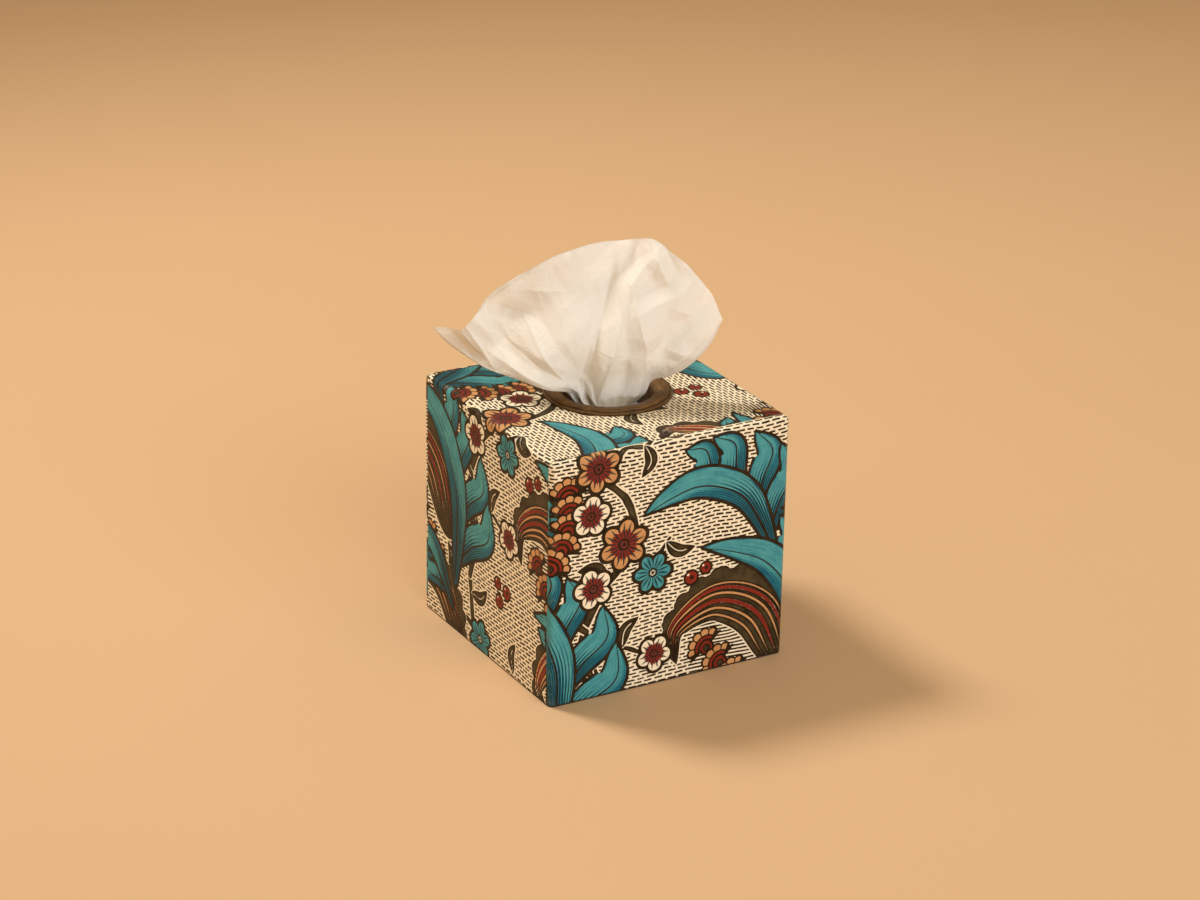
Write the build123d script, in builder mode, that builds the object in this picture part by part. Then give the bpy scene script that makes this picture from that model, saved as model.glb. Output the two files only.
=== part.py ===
from build123d import *
import os
from math import cos, pi, radians, sin

# Tissue box: a rigid cube cover pasted with printed paper, the card carton that it
# stands over, and the tissues inside, with the leading sheet pulled up through the hole.
# Millimetres. The origin is on the ground at the middle of the cover, and +Z is up.
# The front is towards -Y and the left side towards -X.

# Cover
cover_width = 145.0
cover_depth = 145.0
cover_height = 140.0
board_thickness = 12.0
edge_radius = 3.5

# Pasted paper: its thickness with the varnish, how far the front and back sheets turn
# over the edges, the joint between two sheets, and the bare painted foot of the boards
paper_thickness = 0.35
paper_lap = 4.2
paper_joint = 0.1
paper_foot = 1.0

# Moulded ring round the hole
hole_x = 2.5
hole_y = 2.0
rim_sleeve_radius = 29.0
rim_flange_width = 6.25
rim_crown_offset = 2.8
rim_crown_height = 3.0
rim_crown_curve = 14.3
rim_crown_sweep = 21.0
rim_mouth_curve = 4.0
rim_flank_curve = 2.0
rim_flank_sweep = 75.0
rim_edge_round = 0.5
rim_fit = 0.15
paper_hole_margin = 2.0

# Card carton, with the room it has inside the cover and the card left round its opening
carton_side_gap = 3.65
carton_headroom = 0.3
card_thickness = 0.5
opening_end_margin = 16.5
opening_side_margin = 28.5
outer_flap_overlap = 24.0
inner_flap_length = 36.0
glue_lap_width = 13.0

# Film under the carton's opening
film_thickness = 0.15
film_margin = 8.0
slit_clearance = 2.6

# Folded stack
stack_side_gap = 2.2
stack_end_gap = 3.5
stack_headroom = 10.5
stack_crown_flat = 15.6
stack_split_width = 1.6
rest_gap = 0.3

# Pulled-up sheet: it fans out facing half way between the front and the left side
sheet_thickness = 0.4
fan_turn = radians(-30.0)
gather_width = 28.0
gather_depth = 3.2
throat_gap = 3.2
throat_rise = 1.0
left_throat_forward = 8.0
right_throat_forward = -1.0
pleat_count = 3
pleat_depth = 5.5
belly_depth = 8.0

# Stations of the sheet's free edges above the hole, each as across, up and forward from
# the middle of the hole in steps of the given size, seen from the corner between the front
# and the left side
station_step_length = 1.0
top_edge_stations = [
    (-96, 31, -20), (-79, 34, -8), (-64, 53, -2), (-50, 67, 2), (-34, 79, 5),
    (-18, 87, 3), (-4, 88, -3), (11, 87, -8), (24, 89, -5), (34, 85, 1),
    (43, 79, 5), (56, 64, 5), (63, 48, 2), (63, 42, -2),
]
left_edge_stations = [
    (-28, 8, 17), (-36, 9, 18), (-53, 15, 16), (-70, 20, 10), (-80, 24, 4), (-89, 29, -6),
]
right_edge_stations = [
    (24, 9, 1), (34, 13, 5), (44, 20, 8), (56, 32, 7),
]

# Standing ridge from its foot to its head, both as across and up, with the shares of its
# length over which it rises, runs past its head and fades out there
ridge_foot = (-5, 4)
ridge_head = (11, 65)
ridge_height = 7.0
ridge_width = 13.0
ridge_rise_share = 0.25
ridge_overrun_share = 0.25
ridge_fade_share = 0.33

# Facets of the sheet
facets_per_pleat = 8
facet_rows = 12

# Sizes that follow
body_width = cover_width - 2 * paper_thickness
body_depth = cover_depth - 2 * paper_thickness
body_height = cover_height - paper_thickness
board_edge_radius = edge_radius - paper_thickness
wall_height = body_height - board_thickness
rim_flange_radius = rim_sleeve_radius + rim_flange_width
rim_crown_radius = rim_sleeve_radius + rim_crown_offset
paper_hole_radius = rim_sleeve_radius + paper_hole_margin
side_board_length = body_depth - 2 * board_thickness
carton_width = body_width - 2 * board_thickness - 2 * carton_side_gap
carton_depth = body_depth - 2 * board_thickness - 2 * carton_side_gap
carton_height = wall_height - carton_headroom
inside_width = carton_width - 2 * card_thickness
inside_depth = carton_depth - 2 * card_thickness
opening_half_length = carton_width / 2 - opening_end_margin
opening_half_width = carton_depth / 2 - opening_side_margin
film_top = carton_height - card_thickness
floor_height = 3 * card_thickness
stack_foot = floor_height + rest_gap
stack_top = film_top - film_thickness - stack_headroom
stack_height = stack_top - stack_foot
stack_depth = inside_depth - 2 * stack_side_gap
stack_length = inside_width - 2 * stack_end_gap
stack_bend_radius = (stack_depth - stack_crown_flat) / 2
leg_thickness = (stack_depth - stack_split_width) / 2

os.makedirs("parts", exist_ok=True)


def rounded_edges(block):
    """The upright edges and the top edges of a block."""
    top_edges = block.faces().sort_by(Axis.Z)[-1].edges()
    return block.edges().filter_by(Axis.Z) + top_edges


def write(piece, name):
    piece.part.label = name
    export_step(piece.part, f"parts/{name}.step")


# Top board: rounded with the walls, with the seat of the ring through it
with BuildPart() as top_board:
    with BuildSketch(Plane.XY.offset(wall_height)):
        Rectangle(body_width, body_depth)
    extrude(amount=board_thickness)
    fillet(rounded_edges(top_board), board_edge_radius)
    with BuildSketch(Plane.XY.offset(wall_height)):
        with Locations((hole_x, hole_y)):
            Circle(rim_sleeve_radius + rim_fit)
    extrude(amount=board_thickness, mode=Mode.SUBTRACT)
write(top_board, "top_board")


# Front and back boards run the full width, so their ends carry the rounded uprights
front_middle = -body_depth / 2 + board_thickness / 2
with BuildPart() as front_board:
    with BuildSketch():
        with Locations((0, front_middle)):
            Rectangle(body_width, board_thickness)
    extrude(amount=wall_height)
    uprights = front_board.edges().filter_by(Axis.Z)
    fillet(uprights.group_by(Axis.Y)[0], board_edge_radius)
write(front_board, "front_board")

with BuildPart() as back_board:
    add(front_board.part.mirror(Plane.XZ))
write(back_board, "back_board")


# Side boards are glued between them
left_middle = -body_width / 2 + board_thickness / 2
with BuildPart() as left_board:
    with BuildSketch():
        with Locations((left_middle, 0)):
            Rectangle(board_thickness, side_board_length)
    extrude(amount=wall_height)
write(left_board, "left_board")

with BuildPart() as right_board:
    add(left_board.part.mirror(Plane.YZ))
write(right_board, "right_board")


# The paper's own skin over the whole cover, which is then parted into three sheets
with BuildPart() as body_form:
    with BuildSketch():
        Rectangle(body_width, body_depth)
    extrude(amount=body_height)
    fillet(rounded_edges(body_form), board_edge_radius)

with BuildPart() as paper_skin:
    with BuildSketch(Plane.XY.offset(paper_foot)):
        Rectangle(cover_width, cover_depth)
    extrude(amount=cover_height - paper_foot)
    fillet(rounded_edges(paper_skin), edge_radius)
    add(body_form.part, mode=Mode.SUBTRACT)

lap_line = cover_depth / 2 - paper_lap
front_seam = Plane(origin=(0, -lap_line, 0), z_dir=(0, -1, 0))
with BuildPart() as front_paper:
    add(paper_skin.part)
    split(bisect_by=front_seam, keep=Keep.TOP)
write(front_paper, "front_paper")

with BuildPart() as back_paper:
    add(front_paper.part.mirror(Plane.XZ))
write(back_paper, "back_paper")

wrap_reach = lap_line - paper_joint
with BuildPart() as wrap_paper:
    add(paper_skin.part)
    split(bisect_by=Plane(origin=(0, -wrap_reach, 0), z_dir=(0, -1, 0)), keep=Keep.BOTTOM)
    split(bisect_by=Plane(origin=(0, wrap_reach, 0), z_dir=(0, 1, 0)), keep=Keep.BOTTOM)
    with BuildSketch(Plane.XY.offset(body_height)):
        with Locations((hole_x, hole_y)):
            Circle(paper_hole_radius)
    extrude(amount=paper_thickness, mode=Mode.SUBTRACT)
write(wrap_paper, "wrap_paper")


# Ring: a turned moulding whose flange lies on the paper and whose sleeve fills the hole.
# From the crown the section falls outwards to a flat step and inwards to a round mouth.
rim_axis = Axis((hole_x, hole_y, 0), (0, 0, 1))
rim_section = Plane(origin=(hole_x, hole_y, cover_height), x_dir=(1, 0, 0), z_dir=(0, -1, 0))
sleeve_foot = -(cover_height - wall_height)
with BuildPart() as rim_ring:
    with BuildSketch(rim_section):
        with BuildLine():
            crown_top = (rim_crown_radius, rim_crown_height)
            crown = JernArc(crown_top, (-1, 0), rim_crown_curve, rim_crown_sweep)
            mouth = JernArc(crown @ 1, crown % 1, rim_mouth_curve, 90 - rim_crown_sweep)
            throat_radius = (mouth @ 1).X
            Line(mouth @ 1, (throat_radius, sleeve_foot))
            Line((throat_radius, sleeve_foot), (rim_sleeve_radius, sleeve_foot))
            Line((rim_sleeve_radius, sleeve_foot), (rim_sleeve_radius, 0))
            Line((rim_sleeve_radius, 0), (rim_flange_radius, 0))
            flank = JernArc(crown_top, (1, 0), rim_flank_curve, -rim_flank_sweep)
            step_height = (flank @ 1).Y
            Polyline(flank @ 1, (rim_flange_radius, step_height), (rim_flange_radius, 0))
        make_face()
    revolve(axis=rim_axis)
    flange_rim = rim_ring.edges().filter_by(GeomType.CIRCLE).group_by(SortBy.RADIUS)[-1]
    fillet(flange_rim.sort_by(Axis.Z)[-1], rim_edge_round)
write(rim_ring, "rim_ring")


# Carton: a folded card box. Its bottom flaps overlap and are glued, and so is the lap in
# one corner. The two inner flaps lie on top of the outer ones.
flap_reach = (inside_depth + outer_flap_overlap) / 2
flap_middle = (inside_depth - flap_reach) / 2
inner_flap_middle = (inside_width - inner_flap_length) / 2
lap_middle = ((inside_width - glue_lap_width) / 2, (inside_depth - card_thickness) / 2)
with BuildPart() as carton:
    with BuildSketch():
        Rectangle(carton_width, carton_depth)
        Rectangle(inside_width, inside_depth, mode=Mode.SUBTRACT)
    extrude(amount=carton_height)
    with BuildSketch(Plane.XY.offset(film_top)):
        Rectangle(carton_width, carton_depth)
        Ellipse(opening_half_length, opening_half_width, mode=Mode.SUBTRACT)
    extrude(amount=card_thickness)
    for level, side in ((0, -1), (card_thickness, 1)):
        with BuildSketch(Plane.XY.offset(level)):
            with Locations((0, side * flap_middle)):
                Rectangle(inside_width, flap_reach)
        extrude(amount=card_thickness)
    with BuildSketch(Plane.XY.offset(2 * card_thickness)):
        with Locations((-inner_flap_middle, 0), (inner_flap_middle, 0)):
            Rectangle(inner_flap_length, inside_depth)
    extrude(amount=card_thickness)
    with BuildSketch():
        with Locations(lap_middle):
            Rectangle(glue_lap_width, card_thickness)
    extrude(amount=film_top)
write(carton, "carton")


# Film: glued under the opening, with its slit pushed open by the sheet
slit_half_length = gather_width / 2 + slit_clearance
slit_half_width = gather_depth + sheet_thickness + slit_clearance
with BuildPart() as dispensing_film:
    with BuildSketch(Plane.XY.offset(film_top - film_thickness)):
        Ellipse(opening_half_length + film_margin, opening_half_width + film_margin)
        with BuildLine():
            slit_ends = [(hole_x - slit_half_length, hole_y), (hole_x + slit_half_length, hole_y)]
            ThreePointArc(slit_ends[0], (hole_x, hole_y + slit_half_width), slit_ends[1])
            ThreePointArc(slit_ends[0], (hole_x, hole_y - slit_half_width), slit_ends[1])
        make_face(mode=Mode.SUBTRACT)
    extrude(amount=film_thickness)
write(dispensing_film, "dispensing_film")


# Stack: the folded clip bent over into an upturned U, its two legs side by side
with BuildPart() as tissue_stack:
    with BuildSketch(Plane.YZ):
        with Locations((0, stack_foot + stack_height / 2)):
            Rectangle(stack_depth, stack_height)
        fillet(vertices().group_by(Axis.Y)[-1], stack_bend_radius)
        split_height = stack_height - leg_thickness
        with Locations((0, stack_foot + split_height / 2)):
            Rectangle(stack_split_width, split_height, mode=Mode.SUBTRACT)
    extrude(amount=stack_length / 2, both=True)
write(tissue_stack, "tissue_stack")


# Pulled-up sheet. Its free edges are curves through the stations above. The surface
# between them is the Coons patch of the four edges, with a forward belly, pleats that
# run out towards the top edge, and one standing ridge.
sheet_foot = stack_top + rest_gap - cover_height
film_level = film_top - cover_height
half_gather = gather_width / 2
throat_reach = throat_radius - throat_gap


def stepped(stations):
    """Stations turned into millimetres."""
    return [tuple(station_step_length * part for part in station) for station in stations]


top_edge = Spline(*stepped(top_edge_stations))
left_edge = Spline(
    (-half_gather, sheet_foot, 0),
    (-half_gather, film_level, 0),
    (-throat_reach, throat_rise, left_throat_forward),
    *stepped(left_edge_stations),
    top_edge @ 0,
)
right_edge = Spline(
    (half_gather, sheet_foot, 0),
    (half_gather, film_level, 0),
    (throat_reach, throat_rise, right_throat_forward),
    *stepped(right_edge_stations),
    top_edge @ 1,
)
foot_edge = Line((-half_gather, sheet_foot, 0), (half_gather, sheet_foot, 0))


def patch_point(across, rise):
    """The Coons patch: both ruled surfaces added, less the one through the corners."""
    foot_and_top = (foot_edge @ across) * (1 - rise) + (top_edge @ across) * rise
    left_and_right = (left_edge @ rise) * (1 - across) + (right_edge @ rise) * across
    corners = (foot_edge @ 0) * ((1 - across) * (1 - rise))
    corners += (foot_edge @ 1) * (across * (1 - rise))
    corners += (top_edge @ 0) * ((1 - across) * rise)
    corners += (top_edge @ 1) * (across * rise)
    return foot_and_top + left_and_right - corners


def share(value):
    """The value held between nought and one."""
    return max(0.0, min(1.0, value))


def ridge_rise(side, up):
    """Height of the standing ridge: a tent across the line from its foot to its head."""
    foot, head = stepped([ridge_foot, ridge_head])
    run = head[0] - foot[0], head[1] - foot[1]
    offset = side - foot[0], up - foot[1]
    length_squared = run[0] ** 2 + run[1] ** 2
    along = (offset[0] * run[0] + offset[1] * run[1]) / length_squared
    away = abs(offset[0] * run[1] - offset[1] * run[0]) / length_squared ** 0.5
    fade_in = share(along / ridge_rise_share)
    fade_out = share((1 + ridge_overrun_share - along) / ridge_fade_share)
    return ridge_height * share(1 - away / ridge_width) * fade_in * fade_out


def sheet_point(across, rise, lift):
    """A point of the sheet. Across runs from the left edge to the right, rise upwards."""
    spot = patch_point(across, rise)
    inside = sin(pi * across)
    swell = sin(pi * rise) ** 3
    pleats = gather_depth * (1 - rise) + pleat_depth * swell
    forward = spot.Z + lift + belly_depth * inside * swell + ridge_rise(spot.X, spot.Y)
    forward += pleats * inside * cos(2 * pi * pleat_count * across)
    turn = fan_turn * share((spot.Y - film_level) / -film_level)
    return (
        hole_x + spot.X * cos(turn) + forward * sin(turn),
        hole_y + spot.X * sin(turn) - forward * cos(turn),
        cover_height + spot.Y,
    )


def facets(grid):
    """Flat three-cornered faces over a grid of points, each cell folded on its diagonal."""
    faces = []
    for low_row, high_row in zip(grid, grid[1:]):
        for a, b, c, d in zip(low_row, low_row[1:], high_row[1:], high_row):
            faces.append(Face(Wire.make_polygon([a, b, c])))
            faces.append(Face(Wire.make_polygon([a, c, d])))
    return faces


def sheet_grid(lift):
    """The sheet's points, row by row from its foot, lifted forward by the given distance."""
    return [
        [sheet_point(column / columns, row / facet_rows, lift) for column in range(columns + 1)]
        for row in range(facet_rows + 1)
    ]


columns = facets_per_pleat * pleat_count
back_grid = sheet_grid(0)
front_grid = sheet_grid(sheet_thickness)
back_sides = list(zip(*back_grid))
front_sides = list(zip(*front_grid))
hems = [
    (back_grid[0], front_grid[0]),
    (back_grid[-1], front_grid[-1]),
    (back_sides[0], front_sides[0]),
    (back_sides[-1], front_sides[-1]),
]
sheet_faces = facets(back_grid) + facets(front_grid)
for hem in hems:
    sheet_faces += facets(hem)
with BuildPart() as tissue:
    add(Solid(Shell(sheet_faces)))
write(tissue, "tissue")
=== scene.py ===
"""Tissue box: a rigid cube cover pasted with block-printed paper, the card carton that it
stands over, and the two-ply sheet drawn up through its ring.

Lengths are worked out in millimetres and written to the meshes in metres. The front of the
cover is towards -Y and its left side towards -X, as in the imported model."""

import math

import bpy
import numpy as np
from mathutils import Matrix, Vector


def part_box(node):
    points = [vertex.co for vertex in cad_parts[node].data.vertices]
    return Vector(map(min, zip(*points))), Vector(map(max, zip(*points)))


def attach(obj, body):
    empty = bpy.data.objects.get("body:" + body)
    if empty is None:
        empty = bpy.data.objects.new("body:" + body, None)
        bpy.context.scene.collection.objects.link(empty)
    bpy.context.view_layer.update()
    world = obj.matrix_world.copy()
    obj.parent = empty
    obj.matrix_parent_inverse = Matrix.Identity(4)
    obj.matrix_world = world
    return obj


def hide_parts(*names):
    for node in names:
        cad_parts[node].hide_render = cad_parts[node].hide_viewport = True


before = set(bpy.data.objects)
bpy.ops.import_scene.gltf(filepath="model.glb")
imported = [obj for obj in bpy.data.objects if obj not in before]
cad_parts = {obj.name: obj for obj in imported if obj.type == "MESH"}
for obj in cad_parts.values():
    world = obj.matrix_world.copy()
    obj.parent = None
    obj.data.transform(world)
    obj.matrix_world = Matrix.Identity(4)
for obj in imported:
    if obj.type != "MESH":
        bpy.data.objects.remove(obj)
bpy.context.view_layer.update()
scene = bpy.context.scene
scene.view_settings.view_transform = "Standard"

MM = 0.001


def packed(node):
    """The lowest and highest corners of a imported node, in mm."""
    return [[round(float(part) / MM, 2) for part in corner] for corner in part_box(node)]


wrap_low, wrap_high = packed("wrap_paper")
front_high = packed("front_paper")[1]
ring_low, ring_high = packed("rim_ring")

# Cover
HALF = wrap_high[0]                      # half of the cover's width and of its depth
TOP = wrap_high[2]                       # its height
FOOT = wrap_low[2]                       # the papers stop this far above the ground
LAP = HALF + front_high[1]               # the front and back papers turn this far round the edges
JOINT = wrap_low[1] - front_high[1]      # gap between two papers
EDGE = 3.5                               # radius of the cover's edges
CORE = HALF - EDGE
ARC = EDGE * math.pi / 2
CUT_DEPTH = 0.33                         # depth of a paper's cut edge
PAPER_HOLE = 31.0                        # radius of the hole in the paper

# Ring: radii from its middle, heights from the top of the cover
HOLE = (np.array(ring_low) + ring_high)[:2] / 2
FLANGE = (ring_high[0] - ring_low[0]) / 2
SLEEVE_FOOT = ring_low[2] - TOP
SLEEVE = 29.0            # outer radius of its sleeve
RIM_ROUND = 0.5          # the flange's upper edge
CROWN = 31.8             # radius of the crown's highest line
CROWN_HEIGHT = 3.0
CROWN_CURVE, CROWN_SWEEP = 14.3, 21      # inner slope of the crown: its curve, and its degrees
FLANK_CURVE, FLANK_SWEEP = 2.0, 75       # outer flank of the crown
MOUTH_CURVE = 4.0        # the round into the throat
GROOVE = 33.9            # radius of the hollow beside the crown, darkened there with painted shade
THROAT = 25.5            # inside this radius painted shade darkens the ring


# shader maths


class Value:
    """A number that a shader works out: its operators add Math nodes."""

    def __init__(self, tree, socket):
        self.tree, self.socket = tree, socket

    def maths(self, operation, *others, clamp=False):
        node = self.tree.nodes.new("ShaderNodeMath")
        node.operation = operation
        node.use_clamp = clamp
        for place, item in zip(node.inputs, (self,) + others):
            connect(self.tree, item, place)
        return Value(self.tree, node.outputs[0])

    def __add__(self, other):
        return self.maths("ADD", other)

    __radd__ = __add__

    def __mul__(self, other):
        return self.maths("MULTIPLY", other)

    __rmul__ = __mul__

    def __sub__(self, other):
        return self.maths("SUBTRACT", other)

    def __rsub__(self, other):
        return (self * -1) + other

    def __truediv__(self, other):
        return self.maths("DIVIDE", other)

    def __abs__(self):
        return self.maths("ABSOLUTE")

    def floor(self):
        return self.maths("FLOOR")

    def fract(self):
        return self.maths("FRACT")

    def power(self, other):
        return self.maths("POWER", other)

    def least(self, other):
        return self.maths("MINIMUM", other)

    def most(self, other):
        return self.maths("MAXIMUM", other)

    def held(self):
        """The value kept between nought and one."""
        return self.maths("ADD", 0.0, clamp=True)

    def below(self, edge, soft):
        """One where the value is under the edge, nought over it, soft between."""
        return (((edge - self) / soft) + 0.5).held()


def connect(tree, item, place):
    """Puts a value, a colour or another node's output into a socket."""
    if isinstance(item, Value):
        tree.links.new(item.socket, place)
    elif isinstance(item, bpy.types.NodeSocket):
        tree.links.new(item, place)
    else:
        place.default_value = item


class Finish:
    """A material: its shader, and the ways to add nodes to it."""

    def __init__(self, name, **shader):
        self.material = bpy.data.materials.new(name)
        self.material.use_nodes = True
        self.tree = self.material.node_tree
        self.shader = self.tree.nodes["Principled BSDF"]
        self.put(**shader)

    def put(self, **values):
        """Sets the shader's sockets by name, with underscores for the spaces."""
        for name, item in values.items():
            connect(self.tree, item, self.shader.inputs[name.replace("_", " ")])

    def node(self, kind, settings=None, values=None, out=0):
        """Adds a node: its settings first, then its sockets, by name or by place."""
        node = self.tree.nodes.new("ShaderNode" + kind)
        for name, item in (settings or {}).items():
            setattr(node, name, item)
        for place, item in (values or {}).items():
            connect(self.tree, item, node.inputs[place])
        return Value(self.tree, node.outputs[out])

    def noise(self, at, scale, detail=2.0, rough=0.5):
        """Noise about nought, with its cells one over the scale wide."""
        values = {"Vector": at, "Scale": scale, "Detail": detail, "Roughness": rough}
        return self.node("TexNoise", None, values) - 0.5

    def mix(self, share, first, second):
        """A colour between two others."""
        return self.node("Mix", {"data_type": "RGBA"}, {0: share, 6: first, 7: second}, 2)

    def grid(self, name):
        """A field that the piece's own mesh carries."""
        return self.node("Attribute", {"attribute_name": name}, None, 2)

    def in_mm(self, vector):
        """A vector in metres, turned into millimetres."""
        return self.node("VectorMath", {"operation": "SCALE"}, {0: vector, "Scale": 1 / MM})

    def place(self):
        """Object coordinates in millimetres."""
        return self.in_mm(self.node("TexCoord", None, None, 3))

    def flat(self):
        """The place on the developed sheet, in millimetres."""
        return self.in_mm(self.node("UVMap", {"uv_map": "flat"}))

    def parts(self, vector):
        """The three parts of a vector."""
        node = self.tree.nodes.new("ShaderNodeSeparateXYZ")
        connect(self.tree, vector, node.inputs[0])
        return [Value(self.tree, socket) for socket in node.outputs]

    def joined(self, x, y, z):
        """A vector from three values."""
        return self.node("CombineXYZ", None, {0: x, 1: y, 2: z})

    def bump(self, height, depth, strength):
        """Turns a height into a normal. Depth is the height of one, in metres."""
        return self.node("Bump", None, {"Height": height, "Distance": depth, "Strength": strength})


def tone(red, green, blue):
    """A linear colour from one written as on a screen, each part from 0 to 255."""
    parts = [part / 255 for part in (red, green, blue)]
    return [c / 12.92 if c < 0.04045 else ((c + 0.055) / 1.055) ** 2.4 for c in parts] + [1.0]


# the print

LAYERS = ("ink", "teal", "deep", "ochre", "red")
REACH = 4.0          # mm: a field is held within this on both sides


def curve(*points, steps=28):
    """Catmull-Rom curve through the points: each span is the cubic whose end slopes are
    half the chord between the neighbours. Beyond both ends the line is taken to run on
    straight."""
    p = np.array(points, float)
    p = np.vstack([2 * p[0] - p[1], p, 2 * p[-1] - p[-2]])
    spans = len(p) - 3
    at = np.linspace(0, spans, steps + 1)
    i = np.minimum(at.astype(int), spans - 1)
    f = (at - i)[:, None]
    a, b, c, d = p[i], p[i + 1], p[i + 2], p[i + 3]
    return b + f * ((c - a) / 2 + f * (a - 2.5 * b + 2 * c - d / 2 + f * (1.5 * (b - c) + (d - a) / 2)))


def along(path, s, t):
    """Nearest place on a path to each point: the share of the length run so far, the
    distance, and which side of the path the point lies on (left is +1)."""
    a, b = path[:-1], path[1:]
    run = b - a
    length = np.hypot(*run.T)
    start = np.concatenate([[0], np.cumsum(length)])
    ds, dt = s[:, None] - a[:, 0], t[:, None] - a[:, 1]
    f = np.clip((ds * run[:, 0] + dt * run[:, 1]) / length ** 2, 0, 1)
    away = np.hypot(ds - f * run[:, 0], dt - f * run[:, 1])
    k = away.argmin(1)
    rows = np.arange(len(s))
    turn = run[k, 0] * dt[rows, k] - run[k, 1] * ds[rows, k]
    share = (start[k] + f[rows, k] * length[k]) / start[-1]
    return share, away[rows, k], np.where(turn >= 0, 1.0, -1.0)


class Print:
    """The printed fields of one sheet, each a distance in mm that is below nought where
    its colour lies, with the phase and strength of the fine strokes."""

    def __init__(self, s, t):
        self.s, self.t = s.ravel(), t.ravel()
        self.shape = s.shape
        self.fields = {name: np.full(self.s.size, REACH) for name in LAYERS + ("lines",)}
        self.fields["ground"] = np.full(self.s.size, -REACH)
        self.phase = np.zeros(self.s.size)
        self.strength = np.zeros(self.s.size)

    def attributes(self):
        """All fields by name, each in the shape of the grid."""
        held = {name: np.clip(field, -REACH, REACH) for name, field in self.fields.items()}
        held.update(phase=self.phase, strength=self.strength)
        return {name: field.reshape(self.shape) for name, field in held.items()}

    def near(self, low, high, margin=5.0):
        """The points within a box round a motif, and their two coordinates."""
        inside = (self.s > low[0] - margin) & (self.s < high[0] + margin)
        inside &= (self.t > low[1] - margin) & (self.t < high[1] + margin)
        at = np.nonzero(inside)[0]
        return at, self.s[at], self.t[at]

    def lay(self, at, edge, outline=0, phase=None, strength=None, **fills):
        """Prints a motif over what lies there: its fields hold only inside its edge, all
        others are cut away there, and its outline is inked along the edge."""
        for name, field in self.fields.items():
            field[at] = np.maximum(field[at], -edge)
        for name, field in fills.items():
            self.fields[name][at] = np.minimum(self.fields[name][at], np.maximum(field, edge))
        if outline:
            ink = np.abs(edge) - outline / 2
            self.fields["ink"][at] = np.minimum(self.fields["ink"][at], ink)
        inside = at[edge < 0]
        self.phase[inside] = 0 if phase is None else phase[edge < 0]
        self.strength[inside] = 0 if strength is None else strength[edge < 0]

    def stem(self, *points, thick=(3.6, 1.8)):
        """An inked branch: a band along a curve whose width runs from the first value to
        the second, with knots."""
        path = curve(*points)
        at, s, t = self.near(path.min(0), path.max(0), 7)
        share, away, _ = along(path, s, t)
        width = thick[0] + (thick[1] - thick[0]) * share
        knots = 1 + 0.22 * np.sin(share * len(points) * 5.0) * np.sin(share * len(points) * 2.3)
        ink = away - width * knots / 2
        self.lay(at, ink - 0.8, ink=ink)

    def leaf(self, root, tip, bend=0.2, fat=0.42, rib=0.3):
        """A small solid leaf: a lens on a bent axis, with a bare midrib part of the way."""
        root, tip = np.array(root, float), np.array(tip, float)
        run = tip - root
        middle = (root + tip) / 2 + bend * np.array([-run[1], run[0]])
        path = curve(root, middle, tip, steps=12)
        at, s, t = self.near(path.min(0), path.max(0), 9)
        share, away, _ = along(path, s, t)
        half = fat / 2 * np.hypot(*run) * np.sin(np.pi * share ** 0.85) ** 0.8
        edge = away - half
        bare = rib - np.hypot(away, 4 * np.maximum(0, np.abs(share - 0.4) - 0.28))
        self.lay(at, edge - 0.8, ink=np.maximum(edge, bare))

    def plume(self, *points, half=10.0, swing=1.0, tip=1.3):
        """A large leaf on a curved axis. Its half width swells late and runs out to a point.
        The shade at its root and along one side ends in a comb of strokes."""
        path = curve(*points)
        at, s, t = self.near(path.min(0), path.max(0), half + 4)
        share, away, side = along(path, s, t)
        swell = np.sin(np.pi * share ** tip) ** 0.7 + 0.35 * (1 - share) ** 2
        slim = np.sin(np.pi * share ** (tip * 0.85)) ** 0.9 + 0.35 * (1 - share) ** 2
        wide = half * np.where(side * swing > 0, swell, 0.62 * slim)
        edge = away - wide
        over = away / np.maximum(wide, 0.3) * side * swing
        lines = round(4 + half * 0.7)
        comb = 0.32 * np.cos(np.pi * lines * over)
        shade = np.maximum(1.2 - 2.4 * share, -0.30 - 0.5 * share)
        brim = np.abs(np.abs(over) - 1) * wide - 1.1 - 0.5 * np.sin(40 * share)
        deep = np.minimum((over - shade - comb) * wide * 0.8, np.maximum(brim, 0.5 - 3 * share))
        rib = away - 0.8 * (1 - 0.7 * share)
        strength = np.clip(1.15 - 1.9 * share - 0.3 * np.maximum(over, 0), 0, 0.68)
        under = np.clip(-over * 2 - 0.9, 0, 1) * np.clip(2.2 - 2.6 * share, 0, 1)
        strength = np.maximum(strength, 0.55 * under)
        ink = np.maximum(rib, edge)
        phase = over * lines / 2 + 0.5
        self.lay(at, edge, outline=1.8, phase=phase, strength=strength, teal=edge, deep=deep, ink=ink)

    def frond(self, *points, lobes=4, length=50.0, half=12.0, swing=1.0, spread=62.0):
        """A teal branch of plumes: the lobes leave one side of a curved axis in turn and bend
        back along it, and the last plume lies on the axis itself."""
        path = curve(*points, steps=60)
        for k in range(lobes - 1, -1, -1):
            place = int((0.10 + 0.60 * k / lobes) * 60)
            at, run = path[place], path[place + 2] - path[place]
            heading = math.atan2(run[1], run[0])
            reach = length * (1 - 0.12 * k)
            steps = [at - 0.12 * reach * np.array([math.cos(heading), math.sin(heading)])]
            for share, lean in ((0.35, 0.80), (0.75, 0.78), (1.0, 0.50)):
                turn = heading + swing * math.radians(spread) * lean
                steps.append(at + share * reach * np.array([math.cos(turn), math.sin(turn)]))
            self.plume(*steps, half=half * (1 - 0.05 * k), swing=-swing)
        self.plume(*path[::10], half=half, swing=swing)

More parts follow.
